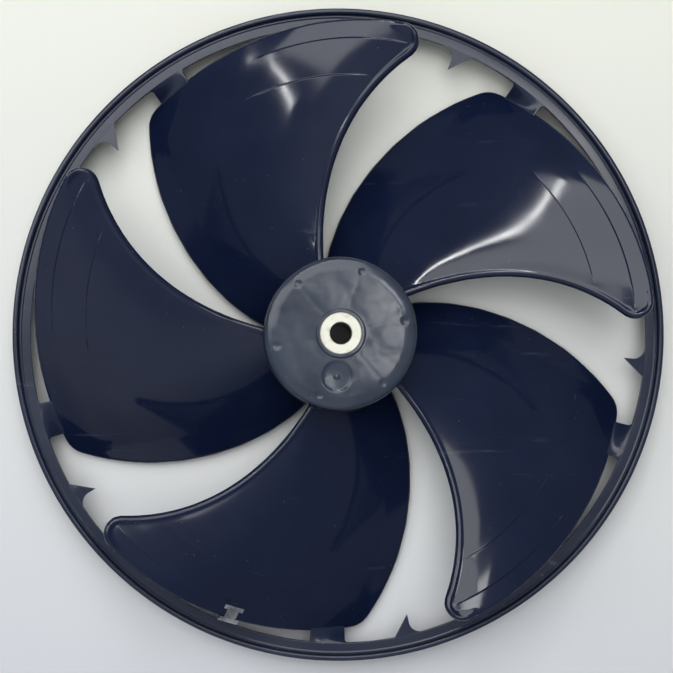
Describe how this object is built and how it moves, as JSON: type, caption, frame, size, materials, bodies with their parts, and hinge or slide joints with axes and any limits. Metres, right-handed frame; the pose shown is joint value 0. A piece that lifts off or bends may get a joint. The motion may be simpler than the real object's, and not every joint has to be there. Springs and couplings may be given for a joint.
{
  "type": "axial fan impeller",
  "caption": "Moulded plastic axial fan impeller with forward-swept blades, an outer ring and a metal hub bush for a motor shaft.",
  "frame": {"origin": "on the shaft axis, in the plane of the ring's lower edge, which is the plane that the impeller rests on", "axes": "+Z along the shaft axis, out of the closed hub face, which is the side that the air comes from"},
  "size_m": [0.4, 0.4, 0.0761],
  "materials": {
    "navy_plastic": "glossy moulded plastic, dark navy blue",
    "bush_aluminium": "turned aluminium",
    "screw_steel": "blackened steel",
    "clip_steel": "plain spring steel, dull"
  },
  "bodies": {
    "root": {"impeller": "navy_plastic", "hub_bush": "bush_aluminium", "set_screw": "screw_steel", "balance_clip": "clip_steel"}
  },
  "joints": []
}
